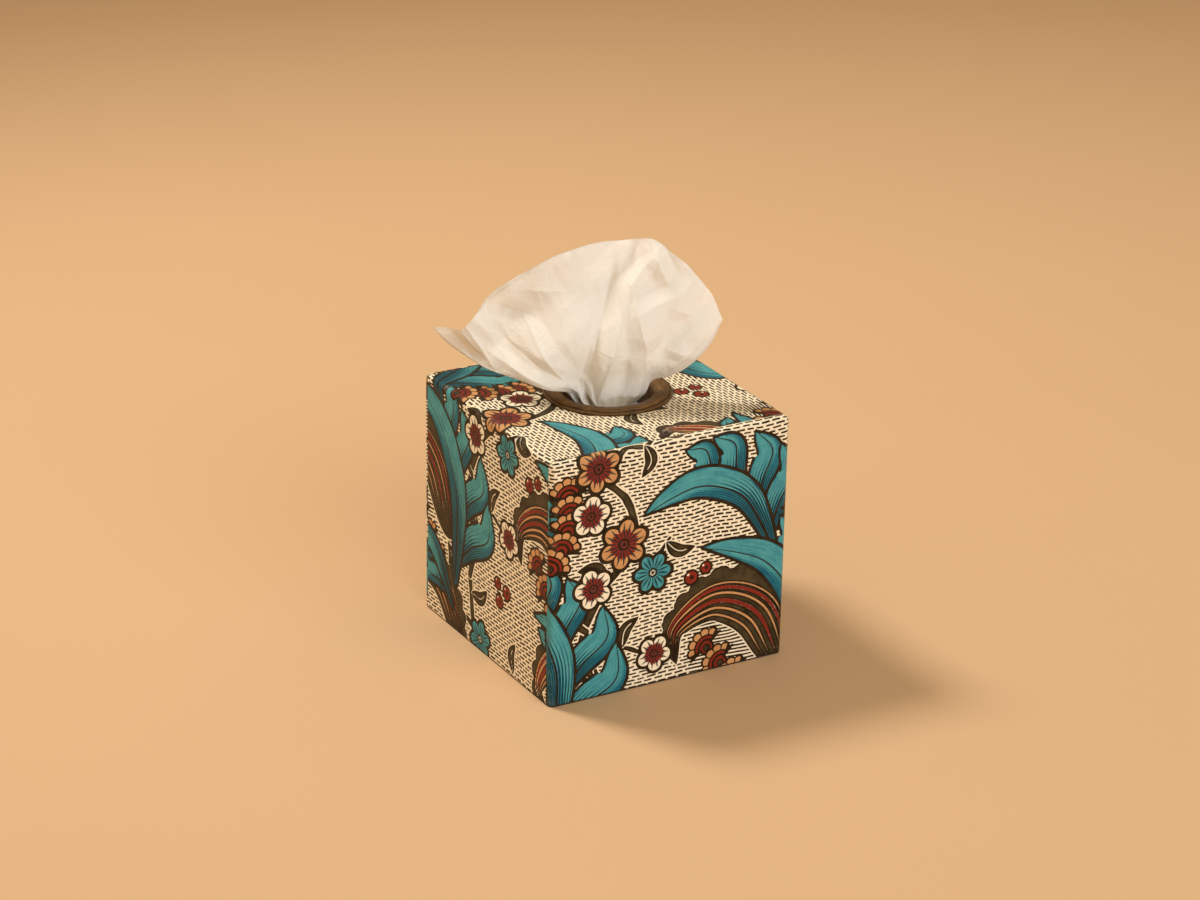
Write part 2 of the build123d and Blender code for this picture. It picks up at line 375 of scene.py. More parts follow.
    def cone(self, *points, half=16.0, swing=1.0, lobes=9):
        """A dark striped teardrop on a curved axis. Its outer side is scalloped, and tapering
        ochre and red stripes follow the axis."""
        path = curve(*points, steps=36)
        at, s, t = self.near(path.min(0), path.max(0), half + 6)
        share, away, side = along(path, s, t)
        swell = np.sin(np.pi * share ** 0.62) ** 0.8
        outer = side * swing > 0
        wave = 3.0 * (np.abs(np.sin(np.pi * lobes * share)) - 0.6)
        wide = half * swell + np.where(outer, wave * np.minimum(1, 3 * swell), 0)
        edge = away - wide
        over = away / np.maximum(half * swell, 0.4) * side * swing
        taper = np.clip(np.minimum(share * 5 - 0.35, 4.6 - 5 * share), -1.5, 1)

        def stripe(place, width):
            return np.abs(over - place) * half * swell - width / 2 * taper

        ochre = stripe(-0.74, 1.0)
        for place, width in ((-0.48, 1.2), (0.06, 1.2), (0.42, 0.8)):
            ochre = np.minimum(ochre, stripe(place, width))
        red = np.minimum(stripe(-0.21, 2.2), stripe(0.26, 1.8))
        ink = np.maximum(edge, -np.minimum(ochre, red))
        self.lay(at, edge - 0.7, ochre=ochre, red=red, ink=ink)

    def fan(self, place, turn, size=12.0, lobes=5):
        """An ochre shell: a scalloped and ribbed rim round a red band and a dark root."""
        cosine, sine = math.cos(math.radians(turn)), math.sin(math.radians(turn))
        at, s, t = self.near(np.array(place) - size, np.array(place) + size, 3)
        x, y = s - place[0], t - place[1]
        out, over = x * cosine + y * sine, y * cosine - x * sine
        radius, angle = np.hypot(out, over), np.arctan2(over, out)
        spread = 1.35
        rate = lobes * np.pi / (2 * spread)
        lobe = np.abs(np.cos(rate * angle))
        rim = size * (0.82 + 0.18 * lobe ** 0.5)
        wedge = np.maximum(radius - rim, (np.abs(angle) - spread) * np.minimum(radius, 4))
        edge = np.minimum(wedge, radius - 0.34 * size)
        rib = np.maximum(radius * lobe / rate - 0.4, 0.66 * size - radius)
        arcs = np.minimum(np.abs(radius - 0.62 * size) - 0.5, np.abs(radius - 0.40 * size) - 0.7)
        ink = np.minimum(np.minimum(rib, arcs), radius - 0.20 * size)
        red = np.maximum(radius - 0.62 * size, edge)
        self.lay(at, edge, outline=1.4, ochre=edge, red=red, ink=ink)

    def flower(self, place, size=12.0, petals=6, tint="ochre", turn=0.0, flushed=True):
        """A flower. Its petals are one ellipse repeated round the middle; strokes and a flush
        with a torn edge run out along each, and the gaps between them are inked."""
        at, s, t = self.near(np.array(place) - size, np.array(place) + size, 3)
        x, y = s - place[0], t - place[1]
        radius = np.hypot(x, y)
        sector = 2 * np.pi / petals
        angle = (np.arctan2(y, x) + math.radians(turn)) % sector - sector / 2
        out, over = radius * np.cos(angle), radius * np.sin(angle)
        breadth = 0.60 * size * math.tan(sector / 2)
        petal = (np.hypot((out - 0.58 * size) / (0.42 * size), over / breadth) - 1) * breadth * 0.9
        edge = np.minimum(petal, radius - 0.52 * size)
        gaps = np.maximum(-petal - 0.4, radius - 0.52 * size)
        ring = np.abs(radius - 0.11 * size) - 0.04 * size
        ink = np.maximum(np.minimum(gaps, radius - 0.22 * size), -ring)
        fills = {tint: petal} if tint else {}
        if flushed:
            torn = (0.54 + 0.07 * np.cos(over / breadth * 5 * np.pi)) * size
            fills["red"] = np.minimum(np.maximum(radius - torn, petal), ring)
        strength = np.clip(1.25 - 1.45 * radius / size, 0, 0.5)
        self.lay(at, edge, outline=1.7, phase=angle / sector * 3, strength=strength, ink=ink, **fills)

    def berry(self, place, size):
        """A red berry with a dark eye and a pale glint."""
        at, s, t = self.near(np.array(place) - size, np.array(place) + size, 3)
        radius = np.hypot(s - place[0], t - place[1])
        glint = np.hypot(s - place[0] + 0.45 * size, t - place[1] - 0.45 * size) - 0.2 * size
        eye = np.hypot(s - place[0] - 0.1 * size, t - place[1]) - 0.3 * size
        self.lay(at, radius - size, outline=1.2, red=-glint, ink=eye)

    def closed_lines(self, low, high):
        """A part of the ground whose dashes join into whole lines."""
        at, s, t = self.near(low, high)
        off_s = np.maximum(low[0] - s, s - high[0])
        off_t = np.maximum(low[1] - t, t - high[1])
        self.fields["lines"][at] = np.minimum(self.fields["lines"][at], np.maximum(off_s, off_t))


REPEAT = (150.0, 210.0)      # mm across and up

# Places are in mm from the repeat's lower left corner
TRUNK = [(22, -20), (30, 10), (22, 36), (34, 62), (52, 84), (48, 110), (30, 130), (26, 160), (22, 190)]
TWIGS = [
    [(24, 40), (8, 52), (-4, 48), (-16, 58)],
    [(26, 18), (44, 26), (62, 18)],
    [(48, 78), (64, 74), (74, 84)],
    [(34, 126), (46, 140), (60, 140), (72, 152)],
    [(26, 160), (8, 168), (-2, 182)],
]
# Root, tip and bend of each leaf
LEAVES = [
    ((44, 24), (40, 6), -0.2), ((46, 26), (56, 42), 0.2), ((28, 8), (10, 20), -0.2),
    ((-2, 48), (-8, 30), -0.25), ((36, 66), (18, 76), -0.22), ((72, 82), (90, 76), -0.2),
    ((58, 140), (56, 122), 0.25), ((70, 150), (88, 146), -0.22), ((72, 152), (74, 170), 0.2),
    ((0, 176), (-18, 172), 0.2), ((-2, 182), (-4, 200), -0.2), ((24, 180), (42, 188), -0.2),
]
# Place and turn of each shell, place and size of each berry
LOW_SHELLS = [((99, 14), 130), ((108, 3), 135), ((117, -7), 135), ((126, -17), 130), ((135, -26), 125)]
HIGH_SHELLS = [((162, 119), 95), ((163, 109), 90), ((162, 99), 80), ((158, 89), 70), ((152, 80), 55)]
BERRIES = [((56, 188), 4.2), ((64, 196), 4.2), ((54, 198), 3.6), ((88, 58), 4.2), ((97, 62), 3.6)]

# One repeat from the bottom up: the kind of motif, the points that it is drawn through and
# its other values
MOTIFS = [
    (Print.closed_lines, [(90, -4), (128, 30)], {}),
    (Print.stem, TRUNK, {"thick": (4.6, 4.6)}),
    *[(Print.stem, twig, {}) for twig in TWIGS],
    *[(Print.leaf, [root, tip], {"bend": bend}) for root, tip, bend in LEAVES],
    (Print.cone, [(150, -8), (134, 30), (104, 44), (78, 30), (80, 8)],
     {"half": 19, "lobes": 13, "swing": -1}),
    (Print.cone, [(164, 142), (142, 173), (113, 177), (99, 156), (112, 144)],
     {"half": 15, "lobes": 11, "swing": -1}),
    *[(Print.fan, [place], {"turn": turn}) for place, turn in LOW_SHELLS],
    (Print.frond, [(152, 163), (134, 189), (114, 199), (94, 197)],
     {"length": 34, "lobes": 3, "half": 8, "spread": 70}),
    (Print.frond, [(138, 66), (120, 98), (90, 110), (58, 100)],
     {"length": 50, "half": 11, "swing": -1, "spread": 70}),
    (Print.frond, [(154, -30), (156, 22), (134, 58), (94, 74)],
     {"length": 58, "swing": -1, "spread": 68}),
    *[(Print.fan, [place], {"turn": turn}) for place, turn in HIGH_SHELLS],
    (Print.flower, [(64, 66)], {"size": 12, "tint": "teal", "turn": 30, "flushed": False}),
    (Print.flower, [(28, 64)], {"size": 12, "petals": 5, "tint": None}),
    (Print.flower, [(46, 86)], {"size": 15, "turn": 10}),
    (Print.flower, [(26, 106)], {"size": 12, "petals": 5, "tint": None, "turn": 25}),
    (Print.flower, [(34, 156)], {"size": 12, "tint": "teal", "turn": 12, "flushed": False}),
    (Print.flower, [(30, 132)], {"size": 14, "turn": 5}),
    (Print.flower, [(66, 18)], {"size": 11, "petals": 5, "tint": None, "turn": 50}),
    *[(Print.berry, [place], {"size": size}) for place, size in BERRIES],
]


def print_sheet(s, t, left, foot):
    """The print over one sheet, whose corner lies at (left, foot) of the repeat. Each motif
    is laid in all repeats before the next one covers it."""
    sheet = Print(s, t)
    columns, rows = range(-2, 4), range(-1, 4)
    shifts = [(column * REPEAT[0] - left, row * REPEAT[1] - foot) for column in columns for row in rows]
    for draw, points, extra in MOTIFS:
        for right, up in shifts:
            draw(sheet, *[(a + right, b + up) for a, b in points], **extra)
    return sheet


# surfaces


def built(name, points, quads, fields, flat=None):
    """A smooth mesh from points in mm and cells of four point numbers each. Fields are values
    of the points, by name; flat is each point's place on the developed sheet, in mm, which
    becomes its UV."""
    mesh = bpy.data.meshes.new(name)
    mesh.vertices.add(len(points))
    mesh.vertices.foreach_set("co", (points * MM).ravel())
    mesh.loops.add(quads.size)
    mesh.loops.foreach_set("vertex_index", quads.ravel())
    mesh.polygons.add(len(quads))
    mesh.polygons.foreach_set("loop_start", np.arange(0, quads.size, 4))
    mesh.polygons.foreach_set("use_smooth", np.full(len(quads), True))
    if flat is not None:
        layer = mesh.uv_layers.new(name="flat")
        layer.data.foreach_set("uv", (flat[quads.ravel()] * MM).ravel())
    for label, values in fields.items():
        place = mesh.attributes.new(label, "FLOAT", "POINT")
        place.data.foreach_set("value", values.astype(np.float32))
    mesh.update()
    mesh.validate()
    piece = bpy.data.objects.new(name, mesh)
    scene.collection.objects.link(piece)
    return piece


def skin(name, spots, fields, flat=None, keep=None):
    """A mesh over a grid of points, rows by columns by three. Fields and flat are grids too,
    and keep says which cells are there."""
    rows, columns = spots.shape[:2]
    index = np.arange(rows * columns).reshape(rows, columns)
    quads = np.stack([index[:-1, :-1], index[:-1, 1:], index[1:, 1:], index[1:, :-1]], -1)
    if keep is not None:
        quads = quads[keep]
    quads = quads.reshape(-1, 4)
    used = np.unique(quads)
    renumber = np.zeros(rows * columns, int)
    renumber[used] = np.arange(len(used))
    values = {label: field.ravel()[used] for label, field in fields.items()}
    uv = None if flat is None else flat.reshape(-1, 2)[used]
    return built(name, spots.reshape(-1, 3)[used], renumber[quads], values, uv)


def stretches(*parts):
    """Grid lines along a line: its start, then the end of each part and how many cells lead
    up to it."""
    lines = [np.array([parts[0]], float)]
    for end, cells in parts[1:]:
        lines.append(np.linspace(lines[-1][-1], end, cells + 1)[1:])
    return np.concatenate(lines)


def dress(piece, material):
    """Makes a material the only one of a piece."""
    piece.data.materials.clear()
    piece.data.materials.append(material)


def finish_piece(piece, material, slot, *nodes):
    """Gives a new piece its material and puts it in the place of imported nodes."""
    dress(piece, material)
    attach(piece, "root")
    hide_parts(*nodes)


def laid(lines):
    """Grid lines with one more at each end, for the cut edge that turns in, and a mask of them."""
    lines = np.concatenate([lines[:1], lines, lines[-1:]])
    cut = np.zeros(len(lines), bool)
    cut[[0, -1]] = True
    return lines, cut


SIDE_LINE = CORE + ARC + LAP - EDGE        # half of the developed width of the front paper


def face_paper(name, side, print_left, print_foot):
    """The front or back paper, turned round the uprights and the top edge. A point's normal
    has the sine of its turn round the upright, the product of both cosines and the sine of
    its turn over the top as its parts, scaled to one. The point lies an edge radius along
    that normal from the core of the cover."""
    top_line = TOP - EDGE
    across, cut_across = laid(stretches(
        -SIDE_LINE, (-CORE - ARC, 1), (-CORE, 11), (CORE, 280), (CORE + ARC, 11), (SIDE_LINE, 1)))
    up, cut_up = laid(stretches(FOOT, (top_line, 275), (top_line + ARC, 11), (TOP + SIDE_LINE - HALF, 1)))
    s, t = np.meshgrid(across, up)
    a = np.clip(np.abs(s) - CORE, 0, ARC) / EDGE
    b = np.clip(t - top_line, 0, ARC) / EDGE
    normal = np.stack([np.sign(s) * np.sin(a), -np.cos(a) * np.cos(b), np.sin(b)], -1)
    normal /= np.linalg.norm(normal, axis=-1, keepdims=True)
    past_side = np.maximum(np.abs(s) - CORE - ARC, 0)
    past_top = np.maximum(t - top_line - ARC, 0)
    sunk = np.where(cut_across[None, :] | cut_up[:, None], EDGE - CUT_DEPTH, EDGE)
    inward = np.maximum(past_side, past_top) - CORE
    core = np.stack([np.clip(s, -CORE, CORE), inward, np.minimum(t, top_line)], -1)
    spots = core + normal * sunk[..., None]
    spots[..., 0] *= -side
    spots[..., 1] *= -side
    outer = (past_side > 0) & (past_top > 0)
    keep = ~outer[1:, 1:] & ~outer[1:, :-1]
    sheet = print_sheet(s, t, print_left, print_foot)
    return skin(name, spots, sheet.attributes(), np.stack([s, t], -1), keep)


def round_paper(name, print_left, print_foot):
    """The paper that runs up the left side, over the top and down the right side. The length
    run from the left foot gives an angle round the top edges, and what is left is straight.
    Points inside the hole are drawn out to its rim."""
    reach = HALF - LAP - JOINT
    turn_in = TOP - EDGE - FOOT
    top_start = turn_in + ARC
    top_end = top_start + 2 * CORE
    down = top_end + ARC
    run, cut_run = laid(stretches(
        0, (turn_in, 176), (top_start, 8), (top_end, 180), (down, 8), (down + turn_in, 176)))
    across, cut_across = laid(stretches(-reach, (reach, 178)))
    s, t = np.meshgrid(across, run)
    middle = np.array([-HOLE[1], top_start + CORE + HOLE[0]])
    away = np.hypot(s - middle[0], t - middle[1])
    inside = away < PAPER_HOLE
    pull = np.where(inside, PAPER_HOLE / np.maximum(away, 0.01), 1)
    corner = inside[1:, 1:] & inside[1:, :-1] & inside[:-1, 1:] & inside[:-1, :-1]
    s, t = middle[0] + (s - middle[0]) * pull, middle[1] + (t - middle[1]) * pull
    bend = np.clip(t - turn_in, 0, ARC) / EDGE + np.clip(t - top_end, 0, ARC) / EDGE
    normal = np.stack([-np.cos(bend), np.zeros_like(s), np.sin(bend)], -1)
    level = np.clip(t - top_start, 0, 2 * CORE) - CORE
    height = TOP - EDGE - np.maximum(turn_in - t, 0) - np.maximum(t - top_end - ARC, 0)
    sunk = np.where(cut_run[:, None] | cut_across[None, :], EDGE - CUT_DEPTH, EDGE)
    spots = np.stack([level, -s, height], -1) + normal * sunk[..., None]
    sheet = print_sheet(s, t, print_left, print_foot)
    return skin(name, spots, sheet.attributes(), np.stack([s, t], -1), ~corner)


def run_along(points):
    """The length run from the first point of a line to each of its points."""
    return np.concatenate([[0], np.cumsum(np.linalg.norm(np.diff(points, axis=0), axis=1))])


def turned(name, profile, turns, centre):
    """A lathe form: a closed profile of radius and height carried round an upright axis. Its
    field called run is the length run along the profile."""
    angle = np.linspace(0, 2 * np.pi, turns, endpoint=False)
    radius, height = profile[:, 0], profile[:, 1]
    rows = np.stack([
        centre[0] + np.cos(angle)[:, None] * radius,
        centre[1] + np.sin(angle)[:, None] * radius,
        np.broadcast_to(height, (turns, len(profile))),
    ], -1)
    index = np.arange(rows.shape[0] * rows.shape[1]).reshape(rows.shape[:2])
    beside, above = np.roll(index, -1, 0), np.roll(index, -1, 1)
    quads = np.stack([index, beside, np.roll(beside, -1, 1), above], -1).reshape(-1, 4)
    return built(name, rows.reshape(-1, 3), quads, {"run": np.tile(run_along(profile), turns)})


def arc(centre, radius, start, end, steps):
    """Points of an arc, from one angle to another in degrees."""
    angle = np.radians(np.linspace(start, end, steps))
    return np.stack([centre[0] + radius * np.cos(angle), centre[1] + radius * np.sin(angle)], -1)


def ring_profile():
    """The ring's section, from the flange round its outer rim, over the step and the crown and
    down the throat: arcs that meet in one direction, with the flat step between."""
    flank = arc((CROWN, CROWN_HEIGHT - FLANK_CURVE), FLANK_CURVE, 90, 90 - FLANK_SWEEP, 12)[::-1]
    crown = arc((CROWN, CROWN_HEIGHT - CROWN_CURVE), CROWN_CURVE, 90, 90 + CROWN_SWEEP, 16)
    end, way = crown[-1], math.radians(90 + CROWN_SWEEP)
    inward = np.array([math.cos(way), math.sin(way)])
    mouth = arc(end - inward * MOUTH_CURVE, MOUTH_CURVE, 90 + CROWN_SWEEP, 180, 14)
    throat, step_height = mouth[-1, 0], flank[0, 1]
    rim = arc((FLANGE - RIM_ROUND, step_height - RIM_ROUND), RIM_ROUND, 0, 90, 5)
    step = np.stack([np.linspace(FLANGE - RIM_ROUND, flank[0, 0], 8)[1:-1], np.full(6, step_height)], -1)
    sleeve = np.stack([np.full(16, throat), np.linspace(mouth[-1, 1], SLEEVE_FOOT, 16)], -1)[1:]
    back = np.array([[SLEEVE, SLEEVE_FOOT], [SLEEVE, 0.0], [FLANGE, 0.0]])
    return np.vstack([rim, step, flank, crown[1:], mouth[1:], sleeve, back])


# the drawn-up sheet

# The sheet's edges, as across and up from the hole and towards the near corner. A place
# that is written twice is a corner.
TOP_EDGE = [
    (-95, 30, -14), (-87, 31, -10), (-79, 32.5, -5), (-79, 32.5, -5), (-72, 41, -3), (-63, 51, -2),
    (-49, 62.7, 1), (-34, 74.6, 3), (-18, 81.6, 2), (-4, 84.6, -2), (11, 85, -5), (23, 86, -3),
    (32, 80.5, 1), (41, 74, 3), (53.5, 59.5, 4), (59.5, 46, 2), (61, 41, -2),
]
LEFT_EDGE = [
    (-14, -23.5, 0), (-14, -13.2, 0), (-20.9, 1, 8),
    (-27, 7, 15), (-36, 9, 17), (-53, 12.8, 13), (-70, 15.4, 1), (-80, 18.4, -8), (-88, 23, -12),
    (-95, 30, -14),
]
RIGHT_EDGE = [
    (14, -23.5, 0), (14, -13.2, 0), (20.9, 1, -1),
    (24, 8, 1), (33, 11, 4), (42.5, 17, 6), (54, 29, 5), (61, 41, -2),
]


def by_length(points, shares):
    """Places along a smooth curve through points in space, at shares of its length."""
    line = curve(*points, steps=599)
    run = run_along(line)
    return np.stack([np.interp(shares * run[-1], run, line[:, k]) for k in range(3)], -1)


# Creases of the sheet: both ends as across and up from the hole, height, and the fall-off
# to the left and to the right of the line
CREASES = [
    ((-7.3, -8), (2.5, 30), 8.2, 7.0, 15.0),
    ((0.5, 22), (11.5, 65), 7.2, 6.4, 13.0),
    ((-18, -4), (-8, 40), -2.8, 6.0, 6.5),
    ((-11, 16), (1, 66), -3.6, 12.0, 3.4),
    ((1, 66), (22, 80), -2.4, 7.0, 3.0),
    ((11.5, 65), (20, 35), 4.5, 7.0, 5.0),
    ((20, 38), (21, -4), 2.8, 6.0, 6.0),
    ((11.5, 65), (24.2, 79.3), 3.8, 5.0, 3.0),
    ((24.2, 79.3), (30.5, 66), 3.6, 3.0, 4.0),
    ((17, 60), (31, 65), -2.6, 4.0, 4.0),
    ((14, 50), (40, 60), 1.6, 4.0, 7.0),
    ((28.6, 84), (37, 68), -2.4, 3.0, 5.0),
    ((-24, 70), (8, 77), 1.0, 6.0, 9.0),
    ((-12, 62), (4, 74), -1.0, 5.0, 4.0),
    ((-44, 41), (-20, 10), 3.6, 5.0, 11.0),
    ((-58, 33), (-25, 15), -2.6, 3.0, 5.0),
    ((-66, 35), (-34, 26), 1.6, 4.0, 6.0),
    ((-64, 24), (-30, 11), 2.6, 3.0, 4.0),
    ((-79, 38), (-61, 16), 5.0, 8.0, 5.0),
    ((-60, 47), (-36, 42), -1.8, 4.0, 4.0),
    ((-52, 57), (-26, 60), 1.6, 5.0, 6.0),
    ((-30, 64), (-10, 34), 1.4, 12.0, 14.0),
    ((44, 66), (30, 44), 1.8, 6.0, 7.0),
    ((52, 54), (36, 40), -2.2, 5.0, 5.0),
    ((36, 52), (47, 47), 1.6, 3.0, 3.0),
    ((43, 27), (33, 17), 3.2, 3.0, 3.5),
    ((43, 27), (30, 31), 2.4, 3.0, 4.0),
    ((34, 36), (24, 30), -2.2, 4.0, 4.0),
    ((50, 40), (38, 30), 1.8, 4.0, 5.0),
    ((-14, 12), (-11, -12), 2.8, 2.2, 3.0),
    ((-18, 8), (-19, -10), 1.6, 2.2, 2.2),
    ((-11, 2), (-9, -12), -2.0, 1.6, 1.6),
]

# A crease: how many fall-offs it reaches, how far its ridge and its foot are rounded, the
# height and width of the pinch on the ridge, and the length over which its ends die away
CREASE_REACH = 1.8
RIDGE_ROUND, FOOT_ROUND = 0.3, 0.03
PINCH_HEIGHT, PINCH_WIDTH = 0.15, 0.8
END_RUN = 5.0

BELLY = 8.0              # how far the middle of the sheet swells forward
GATHERS = 7.0            # waves across the neck
GATHER_DEPTH = 6.6
BROAD_FOLDS = 2.5        # and the wider ones above them
BROAD_DEPTH = 1.6
TURNED_BACK = 0.21       # share of the width that is folded behind at each side of the foot
LEAN_BACK = 4.0          # how far the sheet's head leans back
HEAD = 85.0              # height of its head above the cover
LEAN_DROP = 0.385        # how far a point sinks for each step that it leans back
FAN_TURN = math.radians(-30)
FILM_LEVEL = -13.2       # height of the film from the top of the cover
MAPPED = (210.0, 111.0)  # span of the sheet's UV map


def held(value):
    """The value kept between nought and one."""
    return np.clip(value, 0, 1)


def crease(side, up, low, high, height, left, right):
    """A fold along a line: a tent, pinched at its ridge, that slopes evenly down to its own
    reach on each side, and fades past both ends."""
    run = np.array(high, float) - low
    length = np.hypot(*run)
    x, y = side - low[0], up - low[1]
    along_it = (x * run[0] + y * run[1]) / length
    off = (x * run[1] - y * run[0]) / length
    ends = np.clip(-along_it, 0, None) + np.clip(along_it - length, 0, None)
    away = np.sqrt(off ** 2 + RIDGE_ROUND ** 2) / (CREASE_REACH * np.where(off > 0, right, left))
    tent = 0.5 * (1 - away + np.sqrt((1 - away) ** 2 + FOOT_ROUND ** 2))
    tent = tent + PINCH_HEIGHT * np.exp(-np.abs(off) / PINCH_WIDTH)
    fade = np.sin(np.pi * np.clip(along_it / length, 0.02, 0.98)) ** 0.4
    return height * tent * np.exp(-ends / END_RUN) * (0.35 + 0.65 * fade)


def value_noise(x, y, seed):
    """Smooth noise between -1 and 1 with cells of one unit: random heights at the corners of
    each cell, blended by the smooth-step of the place between them."""
    cells = 64
    heights = np.random.default_rng(seed).uniform(-1, 1, (cells, cells))
    i, j = np.floor(x).astype(int), np.floor(y).astype(int)
    fx, fy = x - i, y - j
    fx, fy = fx * fx * (3 - 2 * fx), fy * fy * (3 - 2 * fy)
    corner = [heights[(i + a) % cells, (j + b) % cells] for a, b in ((0, 0), (1, 0), (0, 1), (1, 1))]
    near = corner[0] * (1 - fx) + corner[1] * fx
    far = corner[2] * (1 - fx) + corner[3] * fx
    return near * (1 - fy) + far * fy


def pinched_noise(x, y, seed):
    """Noise folded at nought, so that its valleys are smooth and its ridges sharp."""
    return -np.abs(value_noise(x, y, seed))


def coons_patch(u, v):
    """Across, up and forward over the patch of the four edges: the surface ruled from foot
    to top and the one ruled from left to right, less the one through the corners."""
    top, left, right = by_length(TOP_EDGE, u), by_length(LEFT_EDGE, v), by_length(RIGHT_EDGE, v)
    near_left, near_right = np.array(LEFT_EDGE[0], float), np.array(RIGHT_EDGE[0], float)
    far_left, far_right = np.array(TOP_EDGE[0], float), np.array(TOP_EDGE[-1], float)
    across, rise = u[..., None], v[..., None]
    foot = near_left * (1 - across) + near_right * across
    patch = foot * (1 - rise) + top * rise + left * (1 - across) + right * across
    patch = patch - foot * (1 - rise) - (far_left * (1 - across) + far_right * across) * rise
    return patch[..., 0], patch[..., 1], patch[..., 2]


def neck_folds(side, up, u, v):
    """The neck's gathers: a sine across the sheet, deepest between the film and the ring and
    gone from the smooth panel in the middle, with broader waves above."""
    throat = held((up + 16) / 6) * held((3 - up) / 7) + 0.45 * held((-11 - up) / 5)
    throat = throat + 0.28 * held((up + 4) / 7) * held((15 - up) / 12)
    panel = held((side + 9) / 3) * held((22 - side) / 3) * held((up + 13) / 4)
    gathers = np.sin(2 * np.pi * GATHERS * u + 0.6 * np.sin(4 * v)) * throat * (1 - 0.94 * panel)
    broad = np.sin(2 * np.pi * BROAD_FOLDS * u + 0.9) * held(v * 5 - 0.6) * held(1.7 - 2.1 * v)
    return gathers * GATHER_DEPTH + broad * BROAD_DEPTH


def crumpling(side, up):
    """Rays of pinched noise that widen with the distance from the neck, and small crumples
    whose cells lie along the sheet's slope."""
    away, angle = np.hypot(side, up + 20), np.arctan2(side, up + 20)
    rays = pinched_noise(angle * 4.2 + 20, away / 42, 5) * 1.5
    rays = rays + pinched_noise(angle * 9.5 + 7, away / 24 + 9, 6) * 0.8
    slope, over = side * 0.8 + up * 0.6, up * 0.8 - side * 0.6
    crumple = value_noise(side / 17 + 9, up / 17, 4) * 0.4
    crumple = crumple + pinched_noise(slope / 14, over / 10 + 30, 15) * 0.7
    crumple = crumple + pinched_noise(slope / 6 + 11, over / 8, 21) * 0.25
    return rays * away / 80 + crumple


def sheet_spots(columns, rows, ply):
    """The sheet: the Coons patch of its four edges, pushed forward by a belly, by the gathers
    of its neck, by the creases and by crumpling, then leaned back and turned to face the near
    corner of the cover. Its side margins are folded behind it. Its two plies part towards the
    free edge, where the back one slips up a little at the left. Returns the points and their
    places on the flat sheet."""
    line, v = np.meshgrid(np.linspace(0, 1, columns + 1), np.linspace(0, 1, rows + 1))
    margin = TURNED_BACK * (1 - v) ** 0.7
    shown = (line - margin) / (1 - 2 * margin)
    behind = np.maximum(-shown, 0) + np.maximum(shown - 1, 0)
    u = 1 - np.abs(1 - np.abs(shown))
    side, up, forward = coons_patch(u, v)
    forward = forward + BELLY * np.sin(np.pi * u) * np.sin(np.pi * v) ** 3
    forward = forward + np.minimum(1, 5 * np.sin(np.pi * u)) * neck_folds(side, up, u, v)
    above = held((up + 12) / 12)
    for fold in CREASES:
        forward = forward + above * crease(side, up, *fold)
    forward = forward + held((v - 0.25) * 3) * crumpling(side, up)

    # the plies part towards the free edge, and the margins lie behind both
    near_edge = held(v * 1.6 - 0.6) + held(1 - u * 9) * v
    part = 0.3 + 0.9 * near_edge * (0.55 + 0.45 * value_noise(side / 16 + 3, up / 16, 8))
    tucked = 1 - np.exp(-behind / 0.012)
    loose = 2.6 + 16 * behind + 0.8 * value_noise(u * 30, v * 6 + 2, 12)
    parted = part * ply + np.where(behind > 0, tucked * (loose - 2 * part * ply), 0)
    slip = 0.9 + 0.9 * value_noise(u * 9, v * 2, 9) - 3.2 * np.exp(-((u - 0.27) / 0.10) ** 2)
    forward, up = forward - parted, up - ply * near_edge * slip
    side = side + ply * np.where(u < 0.5, 0.5, -0.5) * held(1 - 12 * np.minimum(u, 1 - u))

    # the lean is less on the right, where the sheet turns away
    lean = LEAN_BACK * (np.clip(up, 0, None) / HEAD) ** 1.4 * (1 - 0.6 * held((side - 5) / 45))
    forward, up = forward - lean, up - LEAN_DROP * lean
    turn = FAN_TURN * held(1 - up / FILM_LEVEL)
    return np.stack([
        HOLE[0] + side * np.cos(turn) + forward * np.sin(turn),
        HOLE[1] + side * np.sin(turn) - forward * np.cos(turn),
        TOP + up,
    ], -1), np.stack([line * MAPPED[0], v * MAPPED[1]], -1)


# finishes

CREAM, CREAM_WARM = tone(247, 233, 203), tone(242, 219, 180)
BROWN = tone(19, 12, 4)
LET_THROUGH = 0.33       # share of the light that a sheet of tissue lets through

# The four colours of the print: two tones of each, and how far it spills past its edge in mm
COLOURS = (
    ("teal", tone(84, 158, 156), tone(50, 124, 134), 0.30),
    ("deep", tone(24, 92, 108), tone(46, 120, 130), 0.0),
    ("ochre", tone(208, 152, 98), tone(190, 130, 76), 0.12),
    ("red", tone(140, 44, 28), tone(116, 34, 22), 0.10),
)

# Ground of the print in mm: from row to row, from dash to dash, and half of a dash each way
ROW, BRICK = 2.1, 6.1
HALF_HIGH, HALF_LONG = 0.46, 2.05


